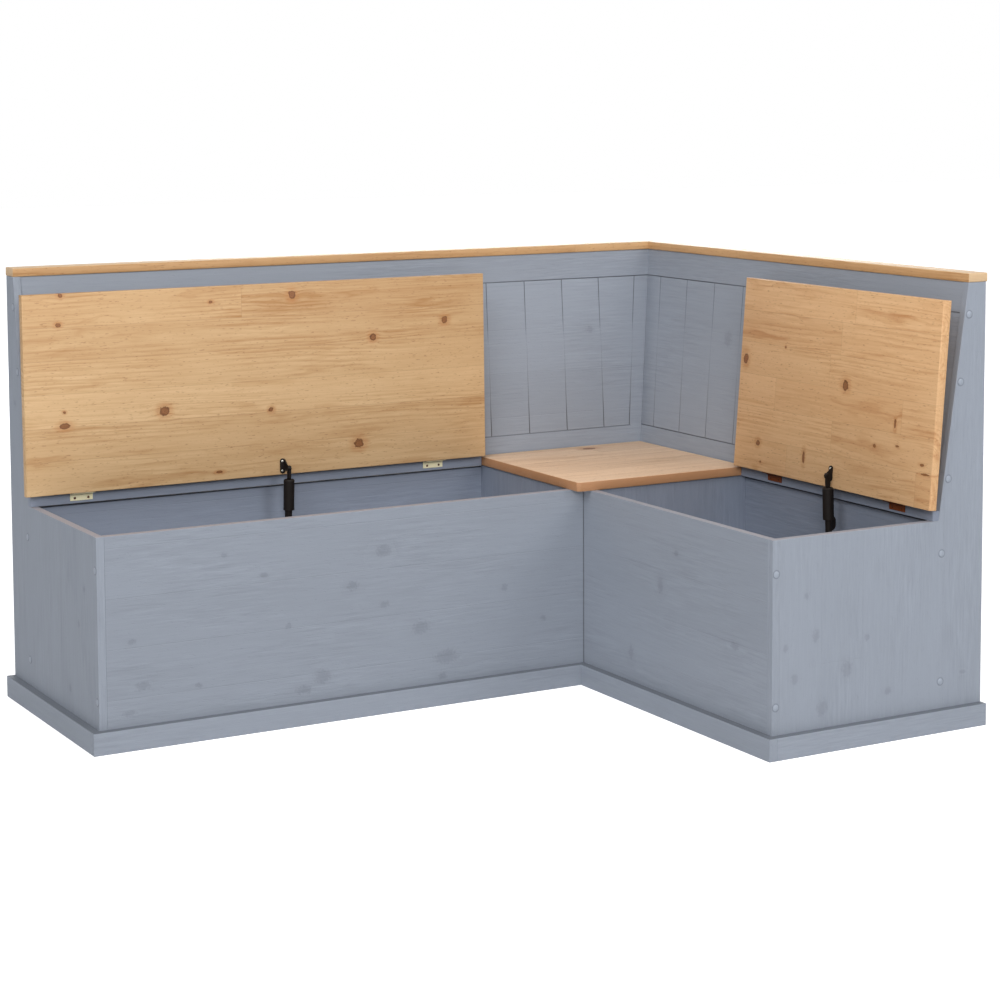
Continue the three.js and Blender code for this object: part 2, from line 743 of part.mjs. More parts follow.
const bench = new THREE.Group();
bench.name = "corner_storage_bench";
const outerCorner = new THREE.Group();
outerCorner.position.set(
  (longLegLength + plinthThickness - capOverhang) / 2,
  (shortLegLength + plinthThickness - capOverhang) / 2,
  0,
);
outerCorner.add(...legs.map(buildLeg));
bench.add(outerCorner);

export default bench;
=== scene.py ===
"""Looks of the corner storage bench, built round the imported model. Metres, in the model's own frame:
the long leg along X at the back, the short leg along Y on the right, the room towards -X and -Y."""
import json
import math

import bmesh
import bpy
from mathutils import Matrix, Vector

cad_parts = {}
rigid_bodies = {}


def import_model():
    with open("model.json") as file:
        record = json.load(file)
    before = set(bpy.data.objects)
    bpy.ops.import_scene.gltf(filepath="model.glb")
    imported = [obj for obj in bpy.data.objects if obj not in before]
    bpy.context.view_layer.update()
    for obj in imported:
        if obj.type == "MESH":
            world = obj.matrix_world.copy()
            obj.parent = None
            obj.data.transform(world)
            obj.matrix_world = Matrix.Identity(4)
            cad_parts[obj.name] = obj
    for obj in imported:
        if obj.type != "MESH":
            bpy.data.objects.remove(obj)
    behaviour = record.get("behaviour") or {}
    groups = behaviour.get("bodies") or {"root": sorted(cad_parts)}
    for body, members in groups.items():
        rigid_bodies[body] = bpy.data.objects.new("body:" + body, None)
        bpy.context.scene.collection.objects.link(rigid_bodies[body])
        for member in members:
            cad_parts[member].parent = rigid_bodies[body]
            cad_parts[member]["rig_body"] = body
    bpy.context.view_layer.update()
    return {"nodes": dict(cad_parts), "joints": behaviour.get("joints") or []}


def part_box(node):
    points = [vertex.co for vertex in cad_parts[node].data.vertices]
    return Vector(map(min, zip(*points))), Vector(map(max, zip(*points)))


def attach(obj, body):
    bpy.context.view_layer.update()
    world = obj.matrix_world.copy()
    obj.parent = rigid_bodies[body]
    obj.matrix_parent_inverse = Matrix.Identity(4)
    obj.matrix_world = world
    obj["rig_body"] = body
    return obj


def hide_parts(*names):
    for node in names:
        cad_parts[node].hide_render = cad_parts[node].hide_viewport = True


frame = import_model()

# Places that several pieces share, read from the model
rim_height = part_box("front_panel_long")[1].z
outer_corner = Vector((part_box("end_panel_short")[1].x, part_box("end_panel_long")[1].y, 0))


# Camera, as the photograph was taken
def place_camera(place, yaw, pitch, roll, focal_share, shift):
    """Looks from place, counted from the outer corner, along yaw, from +Y towards +X, and pitch below the
    horizon, in degrees. focal_share is the focal length as a share of the picture's width."""
    yaw, pitch, roll = (math.radians(angle) for angle in (yaw, pitch, roll))
    forward = Vector((math.sin(yaw) * math.cos(pitch), math.cos(yaw) * math.cos(pitch), -math.sin(pitch)))
    right = Vector((math.cos(yaw), -math.sin(yaw), 0))
    up = right.cross(forward)
    right, up = math.cos(roll) * right + math.sin(roll) * up, math.cos(roll) * up - math.sin(roll) * right
    data = bpy.data.cameras.new("camera")
    data.sensor_width = 36
    data.lens = data.sensor_width * focal_share
    data.shift_y = shift
    data.clip_end = 100
    camera = bpy.data.objects.new("camera", data)
    turn = Matrix((right, up, -forward)).transposed()
    camera.matrix_world = Matrix.Translation(outer_corner + Vector(place)) @ turn.to_4x4()
    bpy.context.scene.collection.objects.link(camera)
    bpy.context.scene.camera = camera


place_camera(
    place=(-3.1109, -4.7574, 1.2619), yaw=29.484, pitch=5.118, roll=-0.237, focal_share=2.389, shift=-0.2
)


# Node trees
class Field:
    """A value in a node tree, to be reckoned with as a number or a vector."""

    def __init__(self, tree, socket):
        self.tree = tree
        self.socket = socket

    def feed(self, socket, value):
        """Links a field to a socket, or writes a plain value into it."""
        if isinstance(value, Field):
            self.tree.links.new(value.socket, socket)
        else:
            socket.default_value = value

    def _math(self, operation, *values, clamp=False):
        node = self.tree.nodes.new("ShaderNodeMath")
        node.operation = operation
        node.use_clamp = clamp
        for socket, value in zip(node.inputs, values):
            self.feed(socket, value)
        return Field(self.tree, node.outputs[0])

    def __add__(self, other):
        return self._math("ADD", self, other)

    def __radd__(self, other):
        return self._math("ADD", self, other)

    def __sub__(self, other):
        return self._math("SUBTRACT", self, other)

    def __rsub__(self, other):
        return self._math("SUBTRACT", other, self)

    def __mul__(self, other):
        return self._math("MULTIPLY", self, other)

    def __truediv__(self, other):
        return self._math("DIVIDE", self, other)

    def clamp(self):
        return self._math("ADD", self, 0.0, clamp=True)

    def floor(self):
        return self._math("FLOOR", self)

    def fract(self):
        return self._math("FRACT", self)

    def abs(self):
        return self._math("ABSOLUTE", self)

    def sqrt(self):
        return self._math("SQRT", self)

    def exp(self):
        return self._math("EXPONENT", self)

    def least(self, other):
        return self._math("MINIMUM", self, other)

    def most(self, other):
        return self._math("MAXIMUM", self, other)

    def step(self, low, high):
        """Rises smoothly from 0 at low to 1 at high."""
        node = self.tree.nodes.new("ShaderNodeMapRange")
        node.interpolation_type = "SMOOTHSTEP"
        self.feed(node.inputs["Value"], self)
        self.feed(node.inputs["From Min"], low)
        self.feed(node.inputs["From Max"], high)
        return Field(self.tree, node.outputs["Result"])

    def along(self, axis):
        """The length of this vector along an axis."""
        node = self.tree.nodes.new("ShaderNodeVectorMath")
        node.operation = "DOT_PRODUCT"
        self.feed(node.inputs[0], self)
        node.inputs[1].default_value = axis
        return Field(self.tree, node.outputs["Value"])


def vector(x, y, z):
    tree = next(value.tree for value in (x, y, z) if isinstance(value, Field))
    node = tree.nodes.new("ShaderNodeCombineXYZ")
    joined = Field(tree, node.outputs[0])
    for socket, value in zip(node.inputs, (x, y, z)):
        joined.feed(socket, value)
    return joined


def noise(place, scale=1.0, detail=2.0, roughness=0.5):
    """Noise round 0, mostly within 0.5 either way."""
    node = place.tree.nodes.new("ShaderNodeTexNoise")
    place.feed(node.inputs["Vector"], place)
    node.inputs["Scale"].default_value = scale
    node.inputs["Detail"].default_value = detail
    node.inputs["Roughness"].default_value = roughness
    return Field(place.tree, node.outputs["Fac"]) - 0.5


def scatter(place):
    """Three random numbers from 0 to 1 for each place."""
    node = place.tree.nodes.new("ShaderNodeTexWhiteNoise")
    node.noise_dimensions = "3D"
    place.feed(node.inputs["Vector"], place)
    parts = place.tree.nodes.new("ShaderNodeSeparateColor")
    place.tree.links.new(node.outputs["Color"], parts.inputs[0])
    return [Field(place.tree, socket) for socket in parts.outputs]


def mix(share, first, second):
    """A colour between two colours."""
    node = share.tree.nodes.new("ShaderNodeMix")
    node.data_type = "RGBA"
    share.feed(node.inputs[0], share)
    share.feed(node.inputs[6], first)
    share.feed(node.inputs[7], second)
    return Field(share.tree, node.outputs[2])


def scaled(colour, share):
    """A colour made lighter or darker by a share."""
    node = share.tree.nodes.new("ShaderNodeVectorMath")
    node.operation = "SCALE"
    share.feed(node.inputs[0], colour)
    share.feed(node.inputs["Scale"], share)
    return Field(share.tree, node.outputs[0])


def new_material(name):
    material = bpy.data.materials.new(name)
    material.use_nodes = True
    return material, material.node_tree, material.node_tree.nodes["Principled BSDF"]


def coordinates(tree, output="Object"):
    return Field(tree, tree.nodes.new("ShaderNodeTexCoord").outputs[output])


def bump(tree, shader, height, distance, strength):
    node = tree.nodes.new("ShaderNodeBump")
    node.inputs["Strength"].default_value = strength
    node.inputs["Distance"].default_value = distance
    tree.links.new(height.socket, node.inputs["Height"])
    tree.links.new(node.outputs[0], shader.inputs["Normal"])


def colour(red, green, blue):
    """A colour as a screen shows it, from 0 to 255, in the light's own measure."""
    def linear(value):
        value /= 255
        return value / 12.92 if value <= 0.04045 else ((value + 0.055) / 1.055) ** 2.4
    return (linear(red), linear(green), linear(blue), 1.0)


outside_paint = (colour(150, 157, 169), colour(144, 151, 162))
# A bluer copy of the paint, painted shade, for places in shade: the insides of the chests and the hinge
# strips.
inside_paint = (colour(147, 156, 174), colour(141, 150, 167))
rim_paint = colour(166, 157, 160)
pore_brown = colour(140, 88, 48)
seam_brown = colour(142, 96, 56)
knot_halo = colour(184, 124, 72)
knot_shades = (colour(158, 102, 60), colour(98, 56, 32))
knot_rim = colour(66, 38, 22)
ring_spacing = 0.0085  # of the growth rings
paint_stave = 0.098
paint_stave_length = 9.0
plug_line = (0.0072, 0.0094)  # radii of the painted shadow line round a screw plug
rim_band = (-0.002, -0.0015)  # off the rim's height, where the thin paint starts
brink_line = (0.0018, 0.0032)  # under an edge, where its painted shadow line ends
crease_line = (0.0006, 0.0024)  # beside a joint, where its painted shadow line ends
line_width = 0.0009  # of a glued seam


# Wood
def knot(u, v, middle, radius, stretch, ragged):
    """One knot: how far it lifts the rings, its core, rim and halo, and the smudge it leaves under paint."""
    across = (v - middle[1]) / radius
    along = (u - middle[0]) / (radius * stretch)
    distance = (across * across + along * along).sqrt() + ragged
    lift = (distance * distance * -0.22).exp()
    core = 1.0 - distance.step(0.78, 1.05)
    rim = core * distance.step(0.5, 0.9)
    halo = 1.0 - distance.step(0.9, 2.6)
    smudge = 1.0 - distance.step(0.35, 1.35)
    return lift, core, rim, halo, smudge, distance


def grain(place, seed, stave, length, knots, bend, ragged_share):
    """The growth of glued staves. place is along the grain, across the board and into it; bend is how far
    knots turn the grain and ragged_share how uneven they are."""
    u, v, w = (place.along(axis) for axis in ((1, 0, 0), (0, 1, 0), (0, 0, 1)))
    row = (v / stave).floor()
    shift = scatter(vector(row, seed, 0.0))[0]
    number = ((u + shift * length) / length).floor()
    pith, depth, tone = scatter(vector(row, number, seed + 0.5))
    local = v - (row + 0.5) * stave
    seam = 1.0 - (local.abs() * -1.0 + stave / 2).step(0.0, line_width)
    ends = ((u + shift * length) / length).fract()
    butt = 1.0 - (ends.least(1.0 - ends) * length).step(0.0, line_width)

    wander = noise(vector(u * 1.7, v * 6.0, w * 6.0 + tone * 9.0), detail=2.0)
    ripple = noise(vector(u * 9.0, v * 45.0, w * 45.0 + pith * 9.0), detail=2.0)
    ragged = noise(vector(u * 160.0, v * 160.0, w * 20.0), detail=2.0) * ragged_share
    lift, core, rim, halo, smudge, spokes = 0.0, 0.0, 0.0, 0.0, 0.0, None
    for middle_u, middle_v, radius, stretch in knots:
        one_lift, *shapes, distance = knot(u, v, (middle_u, middle_v), radius, stretch, ragged)
        lift = one_lift * (radius * bend) + lift
        core, rim, halo, smudge = (now.most(before) for now, before in zip(shapes, (core, rim, halo, smudge)))
        spokes = distance if spokes is None else distance.least(spokes)
    across = local - (pith - 0.5) * 0.11 + wander * 0.035
    under = w + 0.012 + depth * 0.05
    radius = (across * across + under * under).sqrt() + u * (tone - 0.5) * 0.035 + ripple * 0.004 + lift
    unevenness = noise(vector(u * 0.6, radius * 60.0, tone * 7.0), detail=1.0) * 3.0
    turn = (radius / ring_spacing + unevenness).fract()
    late = turn.step(0.35, 0.9) * (1.0 - turn.step(0.93, 1.0))
    fibre = noise(vector(u * 16.0, v * 620.0, w * 620.0), detail=3.0, roughness=0.6)
    dash = noise(vector(u * 95.0, v * 480.0, w * 480.0), detail=1.0).step(0.14, 0.25)
    cloud = noise(vector(u * 3.2, v * 17.0, w * 17.0 + tone * 5.0), detail=3.0)
    wavy = noise(vector(u * 14.0, v * 165.0 + ripple * 1.5, w * 165.0), detail=2.0, roughness=0.6)
    patch = noise(vector(u * 4.0 + 7.0, v * 12.0, w * 12.0), detail=1.0).step(-0.2, 0.2)
    streak = noise(vector(u * 3.4, v * 36.0 + ripple * 2.2, w * 36.0 + depth * 4.0), detail=3.0)
    return {
        "tone": tone,
        "depth": depth,
        "late": late,
        "fibre": fibre,
        "dash": dash,
        "cloud": cloud,
        "seam": seam.most(butt),
        "core": core,
        "rim": rim,
        "halo": halo,
        "smudge": smudge,
        "rings": spokes,
        "relief": wavy * (patch * 0.8 + 0.2),
        "patch": patch,
        "streak": streak.step(0.03, 0.26),
    }


def board_place(tree, origin, along, across, into):
    """Coordinates along the grain, across the board and into it, from the object's own."""
    here = coordinates(tree)
    node = tree.nodes.new("ShaderNodeVectorMath")
    node.operation = "SUBTRACT"
    tree.links.new(here.socket, node.inputs[0])
    node.inputs[1].default_value = origin
    moved = Field(tree, node.outputs[0])
    return vector(moved.along(along), moved.along(across), moved.along(into))


def pine(
    name, origin, along, across, into, seed, stave, length, shades, knots=(), edge=None, tone=0.2, fade=0.0
):
    """Lacquered pine of glued staves, from a light and a dark shade. edge is a share and a colour for what
    isn't the face, tone how dark the board is, and the last argument is painted shade:
    how much darker the board is made across the grain, towards the top of the open lid."""
    material, tree, shader = new_material(name)
    place = board_place(tree, origin, along, across, into)
    wood = grain(place, seed, stave, length, knots, bend=0.7, ragged_share=1.0)
    share = (
        tone
        + wood["late"] * (wood["patch"] * 0.3 + 0.05)
        + wood["relief"] * 0.95
        + wood["fibre"] * 0.55
        + wood["cloud"] * 0.5
        + wood["streak"] * 0.45
        + (wood["depth"] - 0.5) * 0.26
        # painted shade, darker across the board
        + place.along((0, 1, 0)) * fade
    )
    base = mix(share.clamp(), *shades)
    base = scaled(base, 1.0 + (wood["tone"] - 0.5) * 0.07)
    base = mix(wood["dash"] * 0.45, base, pore_brown)
    base = mix(wood["seam"] * 0.3, base, seam_brown)
    if knots:
        heart = (wood["rings"] * 4.5).fract()
        uneven = (wood["fibre"] * 1.5 + wood["cloud"] + 0.45).clamp()
        base = mix(wood["halo"] * uneven, base, knot_halo)
        base = mix(wood["core"] * 0.9, base, mix(heart, *knot_shades))
        base = mix(wood["rim"] * (wood["cloud"] * 2.0 + 0.55).clamp(), base, knot_rim)
    if edge:
        facing = coordinates(tree, "Normal").along(into).abs()
        base = mix((1.0 - facing.step(0.5, 0.9)) * edge[0], base, edge[1])
    tree.links.new(base.socket, shader.inputs["Base Color"])
    gloss = 0.46 + wood["fibre"] * 0.12 + wood["late"] * 0.05
    tree.links.new(gloss.socket, shader.inputs["Roughness"])
    shader.inputs["Specular IOR Level"].default_value = 0.35
    height = wood["fibre"] * 0.6 + wood["relief"] * 0.6 + wood["late"] * 0.3
    height = height - wood["seam"] * 0.6 - wood["dash"] * 0.4
    bump(tree, shader, height, distance=0.0003, strength=0.35)
    return material


def painted(
    name, origin, along, across, into, seed, shade=1.0, pigment=outside_paint, knots=(), bare=0.0,
    grooved=False, ledge=0.0, brink=None, crease=None, rings=(),
):
    """Matt blue-grey paint on glued pine, with the grain showing through. shade below 1 is painted shade over
    the whole board, and bare is how thin the paint is on the rims.
    Further arguments paint shade: on the faces that look up, in a band under an edge at the given height, in
    a line beside a joint at the given place along the board, in a fine ring round each screw plug at the
    given places, and in the grooves of a grooved board."""
    material, tree, shader = new_material(name)
    place = board_place(tree, origin, along, across, into)
    wood = grain(place, seed, paint_stave, paint_stave_length, knots, bend=0.4, ragged_share=1.5)
    base = mix((0.5 + wood["cloud"] * 0.7).clamp(), *pigment)
    share = (
        shade
        + wood["relief"] * 0.3
        + wood["fibre"] * 0.11
        - wood["late"] * wood["patch"] * 0.03
        + (wood["tone"] - 0.5) * 0.035
        - wood["dash"] * 0.05
        - wood["seam"] * 0.045
    )
    if knots:
        share = share - wood["smudge"] * 0.1 - wood["core"] * 0.03 - wood["halo"] * 0.015
    base = scaled(base, share)
    if bare:
        height = coordinates(tree).along((0, 0, 1))
        facing = coordinates(tree, "Normal").along((0, 0, 1))
        top = (height - rim_height).abs() * -1.0
        base = mix(facing.step(0.25, 0.8) * top.step(*rim_band) * bare, base, rim_paint)
    # painted shade in the grooves
    if grooved:
        facing = coordinates(tree, "Normal").along(into).abs()
        base = scaled(base, facing.step(0.8, 0.95) * 0.6 + 0.4)
    # painted shade on the faces that look up
    if ledge:
        upward = coordinates(tree, "Normal").along((0, 0, 1)).step(0.5, 0.9)
        base = scaled(base, 1.0 - upward * ledge)
    # painted shadow in a band just under the edge
    if brink:
        below = coordinates(tree).along((0, 0, 1)) * -1.0 + brink
        base = scaled(base, below.step(*brink_line) * 0.8 + 0.2)
    u = place.along((1, 0, 0))
    # painted shadow line beside the joint
    if crease:
        base = scaled(base, (u - crease).abs().step(*crease_line) * 0.55 + 0.45)
    # painted shadow line round each screw plug
    if rings:
        outward = coordinates(tree, "Normal").along(-into).step(0.5, 0.9)
        v = place.along((0, 1, 0))
        line = 0.0
        for middle in rings:
            away_u = u - (middle - origin).dot(along)
            away_v = v - (middle - origin).dot(across)
            distance = (away_u * away_u + away_v * away_v).sqrt()
            line = (1.0 - distance.step(*plug_line)).most(line)
        base = scaled(base, 1.0 - line * outward * 0.3)
    tree.links.new(base.socket, shader.inputs["Base Color"])
    gloss = 0.56 + wood["fibre"] * 0.14 + wood["late"] * 0.06
    tree.links.new(gloss.socket, shader.inputs["Roughness"])
    shader.inputs["Specular IOR Level"].default_value = 0.4
    height = wood["relief"] * 2.6 + wood["fibre"] * 0.6 + wood["late"] * wood["patch"] * 0.4
    height = height - wood["seam"] - wood["dash"] * 0.4
    if knots:
        height = height - wood["smudge"] * 0.8
    bump(tree, shader, height, distance=0.0005, strength=0.6)
    return material


def metal(name, tint, worn, roughness, metallic=0.0, scale=400.0):
    """Metal or metal with a coat: fine brushing, smudges and worn spots."""
    material, tree, shader = new_material(name)
    here = coordinates(tree)
    x, y, z = (here.along(axis) for axis in ((1, 0, 0), (0, 1, 0), (0, 0, 1)))
    brushed = noise(vector(x * scale, y * scale, z * scale * 6), detail=2.0)
    smudge = noise(vector(x * 60.0, y * 60.0, z * 60.0), detail=3.0)
    spots = (smudge + brushed * 0.4).step(0.08, 0.3)
    base = mix(spots * 0.5, tint, worn)
    tree.links.new(base.socket, shader.inputs["Base Color"])
    gloss = roughness + smudge * 0.25 + brushed * 0.12
    tree.links.new(gloss.socket, shader.inputs["Roughness"])
    shader.inputs["Specular IOR Level"].default_value = 0.25
    shader.inputs["Metallic"].default_value = metallic
    bump(tree, shader, brushed + smudge, distance=0.0001, strength=0.4)
    return material


def plastic_paint(name, axis):
    """Smooth painted plastic with a little orange peel, with painted shade where its surface turns from its
    axis to the board.
    """
    material, tree, shader = new_material(name)
    here = coordinates(tree)
    x, y, z = (here.along(axis) for axis in ((1, 0, 0), (0, 1, 0), (0, 0, 1)))
    peel = noise(vector(x * 500.0, y * 500.0, z * 500.0), detail=2.0)
    cloud = noise(vector(x * 90.0, y * 90.0, z * 90.0), detail=2.0)
    base = mix((cloud + 0.5).clamp(), colour(150, 158, 171), colour(158, 166, 179))
    facing = coordinates(tree, "Normal").along(axis).abs()
    # painted shade round the rim of the dome
    base = scaled(base, facing.step(0.86, 0.98) * 0.4 + 0.6)
    tree.links.new(base.socket, shader.inputs["Base Color"])
    tree.links.new((peel * 0.1 + 0.38).socket, shader.inputs["Roughness"])
    bump(tree, shader, peel, distance=0.0001, strength=0.3)
    return material


# Pieces
def add_piece(name, mesh, material, body):
    piece = bpy.data.objects.new(name, mesh)
    bpy.context.scene.collection.objects.link(piece)
    mesh.materials.append(material)
    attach(piece, body)
    return piece


def smooth(mesh, angle=40):
    for face in mesh.polygons:
        face.use_smooth = True
    mesh.set_sharp_from_angle(angle=math.radians(angle))


weld_distance = 1e-6
flat_angle, sharp_angle = 0.4, 60  # degrees: faces joined below the first, edges rounded above the second


def dress(node, material, edge=0.0, shortest=0.008):
    """A CAD node with its long sharp edges rounded, in the place of the node."""
    source = frame["nodes"][node]
    form = bmesh.new()
    form.from_mesh(source.data)
    bmesh.ops.remove_doubles(form, verts=form.verts, dist=weld_distance)
    bmesh.ops.dissolve_limit(
        form, angle_limit=math.radians(flat_angle), verts=form.verts, edges=form.edges
    )
    if edge:
        sharp = [
            line
            for line in form.edges
            if line.is_manifold
            and line.calc_length() > shortest
            and line.calc_face_angle() > math.radians(sharp_angle)
        ]
        bmesh.ops.bevel(
            form, geom=sharp, offset=edge, segments=3, profile=0.5, affect="EDGES", clamp_overlap=True
        )
    mesh = bpy.data.meshes.new(node + "_finish")
    form.to_mesh(mesh)
    form.free()
    smooth(mesh)
    piece = add_piece(node + "_finish", mesh, material, source["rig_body"])
    if edge:
        weighted = piece.modifiers.new("normals", "WEIGHTED_NORMAL")
        weighted.keep_sharp = True
    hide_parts(node)
    return piece


def screw(name, place, facing, radius, body, material, turn):
    """A countersunk screw head with a cross recess, its face at place."""
    form = bmesh.new()
    sides = 32
    rings = [(1.0, 0.0), (0.94, 0.1), (0.7, 0.2), (0.52, 0.24)]  # shares of the radius, out and up
    cross_rise, floor_rise, floor_share = 0.26, 0.02, 0.55
    loops = []
    for share, rise in rings:
        loops.append([
            form.verts.new((
                radius * share * math.cos(2 * math.pi * i / sides),
                radius * share * math.sin(2 * math.pi * i / sides),
                radius * rise,
            ))
            for i in range(sides)
        ])
    cross = []
    arm, wide = 0.44, 0.12
    corners = [(wide, wide), (wide, arm), (-wide, arm), (-wide, wide), (-arm, wide), (-arm, -wide)]
    corners += [(-wide, -wide), (-wide, -arm), (wide, -arm), (wide, -wide), (arm, -wide), (arm, wide)]
    for x, y in corners:
        cross.append(form.verts.new((radius * x, radius * y, radius * cross_rise)))
    for outer, inner in zip(loops, loops[1:]):
        for i in range(sides):
            j = (i + 1) % sides
            form.faces.new((outer[i], outer[j], inner[j], inner[i]))
    lines = [form.edges.new((cross[i], cross[(i + 1) % len(cross)])) for i in range(len(cross))]
    lines += [line for line in form.edges if all(end in loops[-1] for end in line.verts)]
    bmesh.ops.triangle_fill(form, use_beauty=True, edges=lines)
    covers = [face for face in form.faces if all(vert in cross for vert in face.verts)]
    if covers:
        bmesh.ops.delete(form, geom=covers, context="FACES_ONLY")
    floor = [
        form.verts.new((radius * x * floor_share, radius * y * floor_share, radius * floor_rise))
        for x, y in corners
    ]
    for i in range(len(cross)):
        j = (i + 1) % len(cross)
        form.faces.new((cross[i], cross[j], floor[j], floor[i]))
    form.faces.new(floor)
    bmesh.ops.recalc_face_normals(form, faces=form.faces)
    axis = Vector(facing).normalized()
    spin = Matrix.Rotation(math.radians(turn), 4, "Z")
    aim = axis.to_track_quat("Z", "Y").to_matrix().to_4x4()
    bmesh.ops.transform(form, matrix=Matrix.Translation(Vector(place)) @ aim @ spin, verts=form.verts)
    mesh = bpy.data.meshes.new(name)
    form.to_mesh(mesh)
    form.free()
    smooth(mesh, 35)
    return add_piece(name, mesh, material, body)


# Directions and places of the two legs. along runs from the outer corner down the leg, room from the back
# plane to the room; up and back are those of the open lid, from its pin.
X, Y, Z = Vector((1, 0, 0)), Vector((0, 1, 0)), Vector((0, 0, 1))


def joint_place(name):
    return Vector(next(joint["pos_m"] for joint in frame["joints"] if joint["name"] == name))


def leg(name, along, room, lean):
    lean = math.radians(lean)
    return {
        "name": name,
        "along": along,
        "room": room,
        "pin": joint_place(name + "_lid_hinge"),
        "up": math.cos(lean) * Z - math.sin(lean) * room,
        "back": -math.cos(lean) * room - math.sin(lean) * Z,
        "stay": joint_place(name + "_stay_pivot"),
    }


legs = [leg("long", -X, -Y, 1.0), leg("short", -Y, -X, 4.5)]
seat_thickness = 0.020
lid_start = 0.0032  # pin to the back edge of the lid
lid_width = 0.4081


def node_middle(node):
    low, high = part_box(node)
    return (low + high) / 2


def on_leg(one, along, room, height):
    """A point by its lengths from the outer back corner."""
    return outer_corner + one["along"] * along + one["room"] * room + Z * height


def on_lid(one, along, up, back):
    """A point by its length along the leg, up the open lid from the pin and behind the pin."""
    pin = one["pin"].copy()
    pin -= one["along"] * (pin - outer_corner).dot(one["along"])
    return pin + one["along"] * along + one["up"] * up + one["back"] * back


# Knots: along the grain, across the board, radius, and how much longer they are along the grain
lid_knots = {
    "long": [
        (1.521, 0.408, 0.0045, 1.1),
        (1.527, 0.348, 0.0045, 1.3),
        (1.195, 0.379, 0.0030, 1.5),
        (1.009, 0.386, 0.0095, 0.9),
        (0.643, 0.314, 0.0085, 0.95),
        (0.819, 0.285, 0.0080, 1.0),
        (1.518, 0.170, 0.0028, 1.2),
        (1.518, 0.142, 0.0062, 1.9),
        (1.303, 0.158, 0.0100, 1.1),
        (1.063, 0.144, 0.0052, 1.1),
        (0.857, 0.056, 0.0105, 1.2),
        (1.183, 0.021, 0.0030, 2.6),
    ],
    "short": [
        (0.564, 0.238, 0.0120, 0.7),
        (0.913, 0.216, 0.0110, 0.9),
        (0.703, 0.275, 0.0025, 1.0),
        (0.790, 0.054, 0.0135, 0.32),
        (0.628, 0.063, 0.0070, 1.0),
        (0.641, 0.024, 0.0030, 1.0),
        (1.019, 0.107, 0.0038, 1.1),
        (1.090, 0.115, 0.0022, 2.6),
        (1.179, 0.071, 0.0022, 6.0),
        (1.167, 0.088, 0.0030, 2.5),
        (1.078, 0.158, 0.0100, 0.3),
    ],
}
front_knots = {
    "long": [
        (1.519, 0.208, 0.0060, 1.4),
        (1.497, 0.119, 0.0090, 1.8),
        (1.383, 0.105, 0.0050, 1.6),
        (1.159, 0.067, 0.0090, 2.0),
        (1.242, 0.307, 0.0060, 1.4),
        (1.326, 0.356, 0.0055, 1.3),
        (1.119, 0.090, 0.0150, 1.2),
        (1.526, 0.069, 0.0060, 2.4),
        (1.191, 0.201, 0.0060, 1.2),
        (0.980, 0.330, 0.0120, 1.5),
        (1.051, 0.266, 0.0100, 1.3),
        (0.979, 0.220, 0.0070, 1.8),
        (0.896, 0.163, 0.0130, 1.6),
        (0.837, 0.095, 0.0150, 1.9),
        (0.701, 0.225, 0.0070, 1.1),
        (0.607, 0.150, 0.0060, 1.2),
        (0.847, 0.057, 0.0070, 1.4),
    ],
    "short": [
        (0.802, 0.262, 0.0170, 0.55),
        (0.693, 0.103, 0.0140, 0.6),
        (0.859, 0.336, 0.0060, 1.2),
        (1.060, 0.190, 0.0080, 1.6),
    ],
}
end_knots = {
    "long": [
        (0.304, 0.436, 0.0055, 1.2),
        (0.230, 0.402, 0.0060, 1.3),
        (0.091, 0.346, 0.0060, 1.4),
        (0.620, 0.040, 0.0060, 1.2),
    ],
    "short": [
        (0.223, 0.405, 0.0080, 1.5),
        (0.146, 0.455, 0.0090, 1.2),
        (0.303, 0.428, 0.0050, 1.5),
        (0.207, 0.284, 0.0060, 1.1),
        (0.095, 0.233, 0.0090, 0.8),
        (0.082, 0.390, 0.0120, 1.4),
        (0.151, 0.331, 0.0120, 1.6),
        (0.208, 0.476, 0.0060, 1.3),
        (0.110, 0.045, 0.0080, 0.5),
    ],
}
back_knots = {"long": [(0.221, 0.283, 0.0080, 1.2)], "short": [(0.405, 0.283, 0.0160, 0.9)]}

# Boards
# The hinges are near white on the long leg, a painted highlight, and dark brown on the short leg, painted
# shade; the hinge screws are dark brown, painted shade as well.
brass = metal("brass", colour(250, 242, 204), colour(255, 250, 228), roughness=0.5)
bronze = metal("aged_brass", colour(112, 56, 22), colour(146, 82, 38), roughness=0.55)
dark_bronze = metal("dark_brass", colour(86, 44, 20), colour(112, 66, 34), roughness=0.5)
black = metal("black_coat", colour(15, 8, 5), colour(30, 18, 12), roughness=0.6, scale=300.0)
zinc = metal("zinc", colour(196, 194, 186), colour(226, 226, 222), roughness=0.3, metallic=1.0)
# lit and shaded copies of the same hinge brass
hinge_metals = {"long": brass, "short": bronze}
lid_shades = {
    "long": (colour(216, 182, 138), colour(178, 132, 84)),
    "short": (colour(221, 180, 134), colour(184, 130, 82)),
}
cap_shades = (colour(213, 171, 124), colour(182, 135, 87))
cap_end_shade = colour(212, 184, 148)
# Painted shade: how much darker the paint is made on each part of each leg.
paint_shades = {
    "long": {"front": 0.925, "inside": 0.91, "divider": 0.85, "strip": 0.95},
    "short": {"front": 0.965, "inside": 0.79, "divider": 0.81, "strip": 0.8},
}
rim_bareness = {"long": 0.6, "short": 0.4}
lid_staves = 6
lid_stave_lengths = {"long": 30.0, "short": 0.42}  # so long on the long lid that hardly a stave ends there
lid_tones = {"long": 0.01, "short": 0.16}
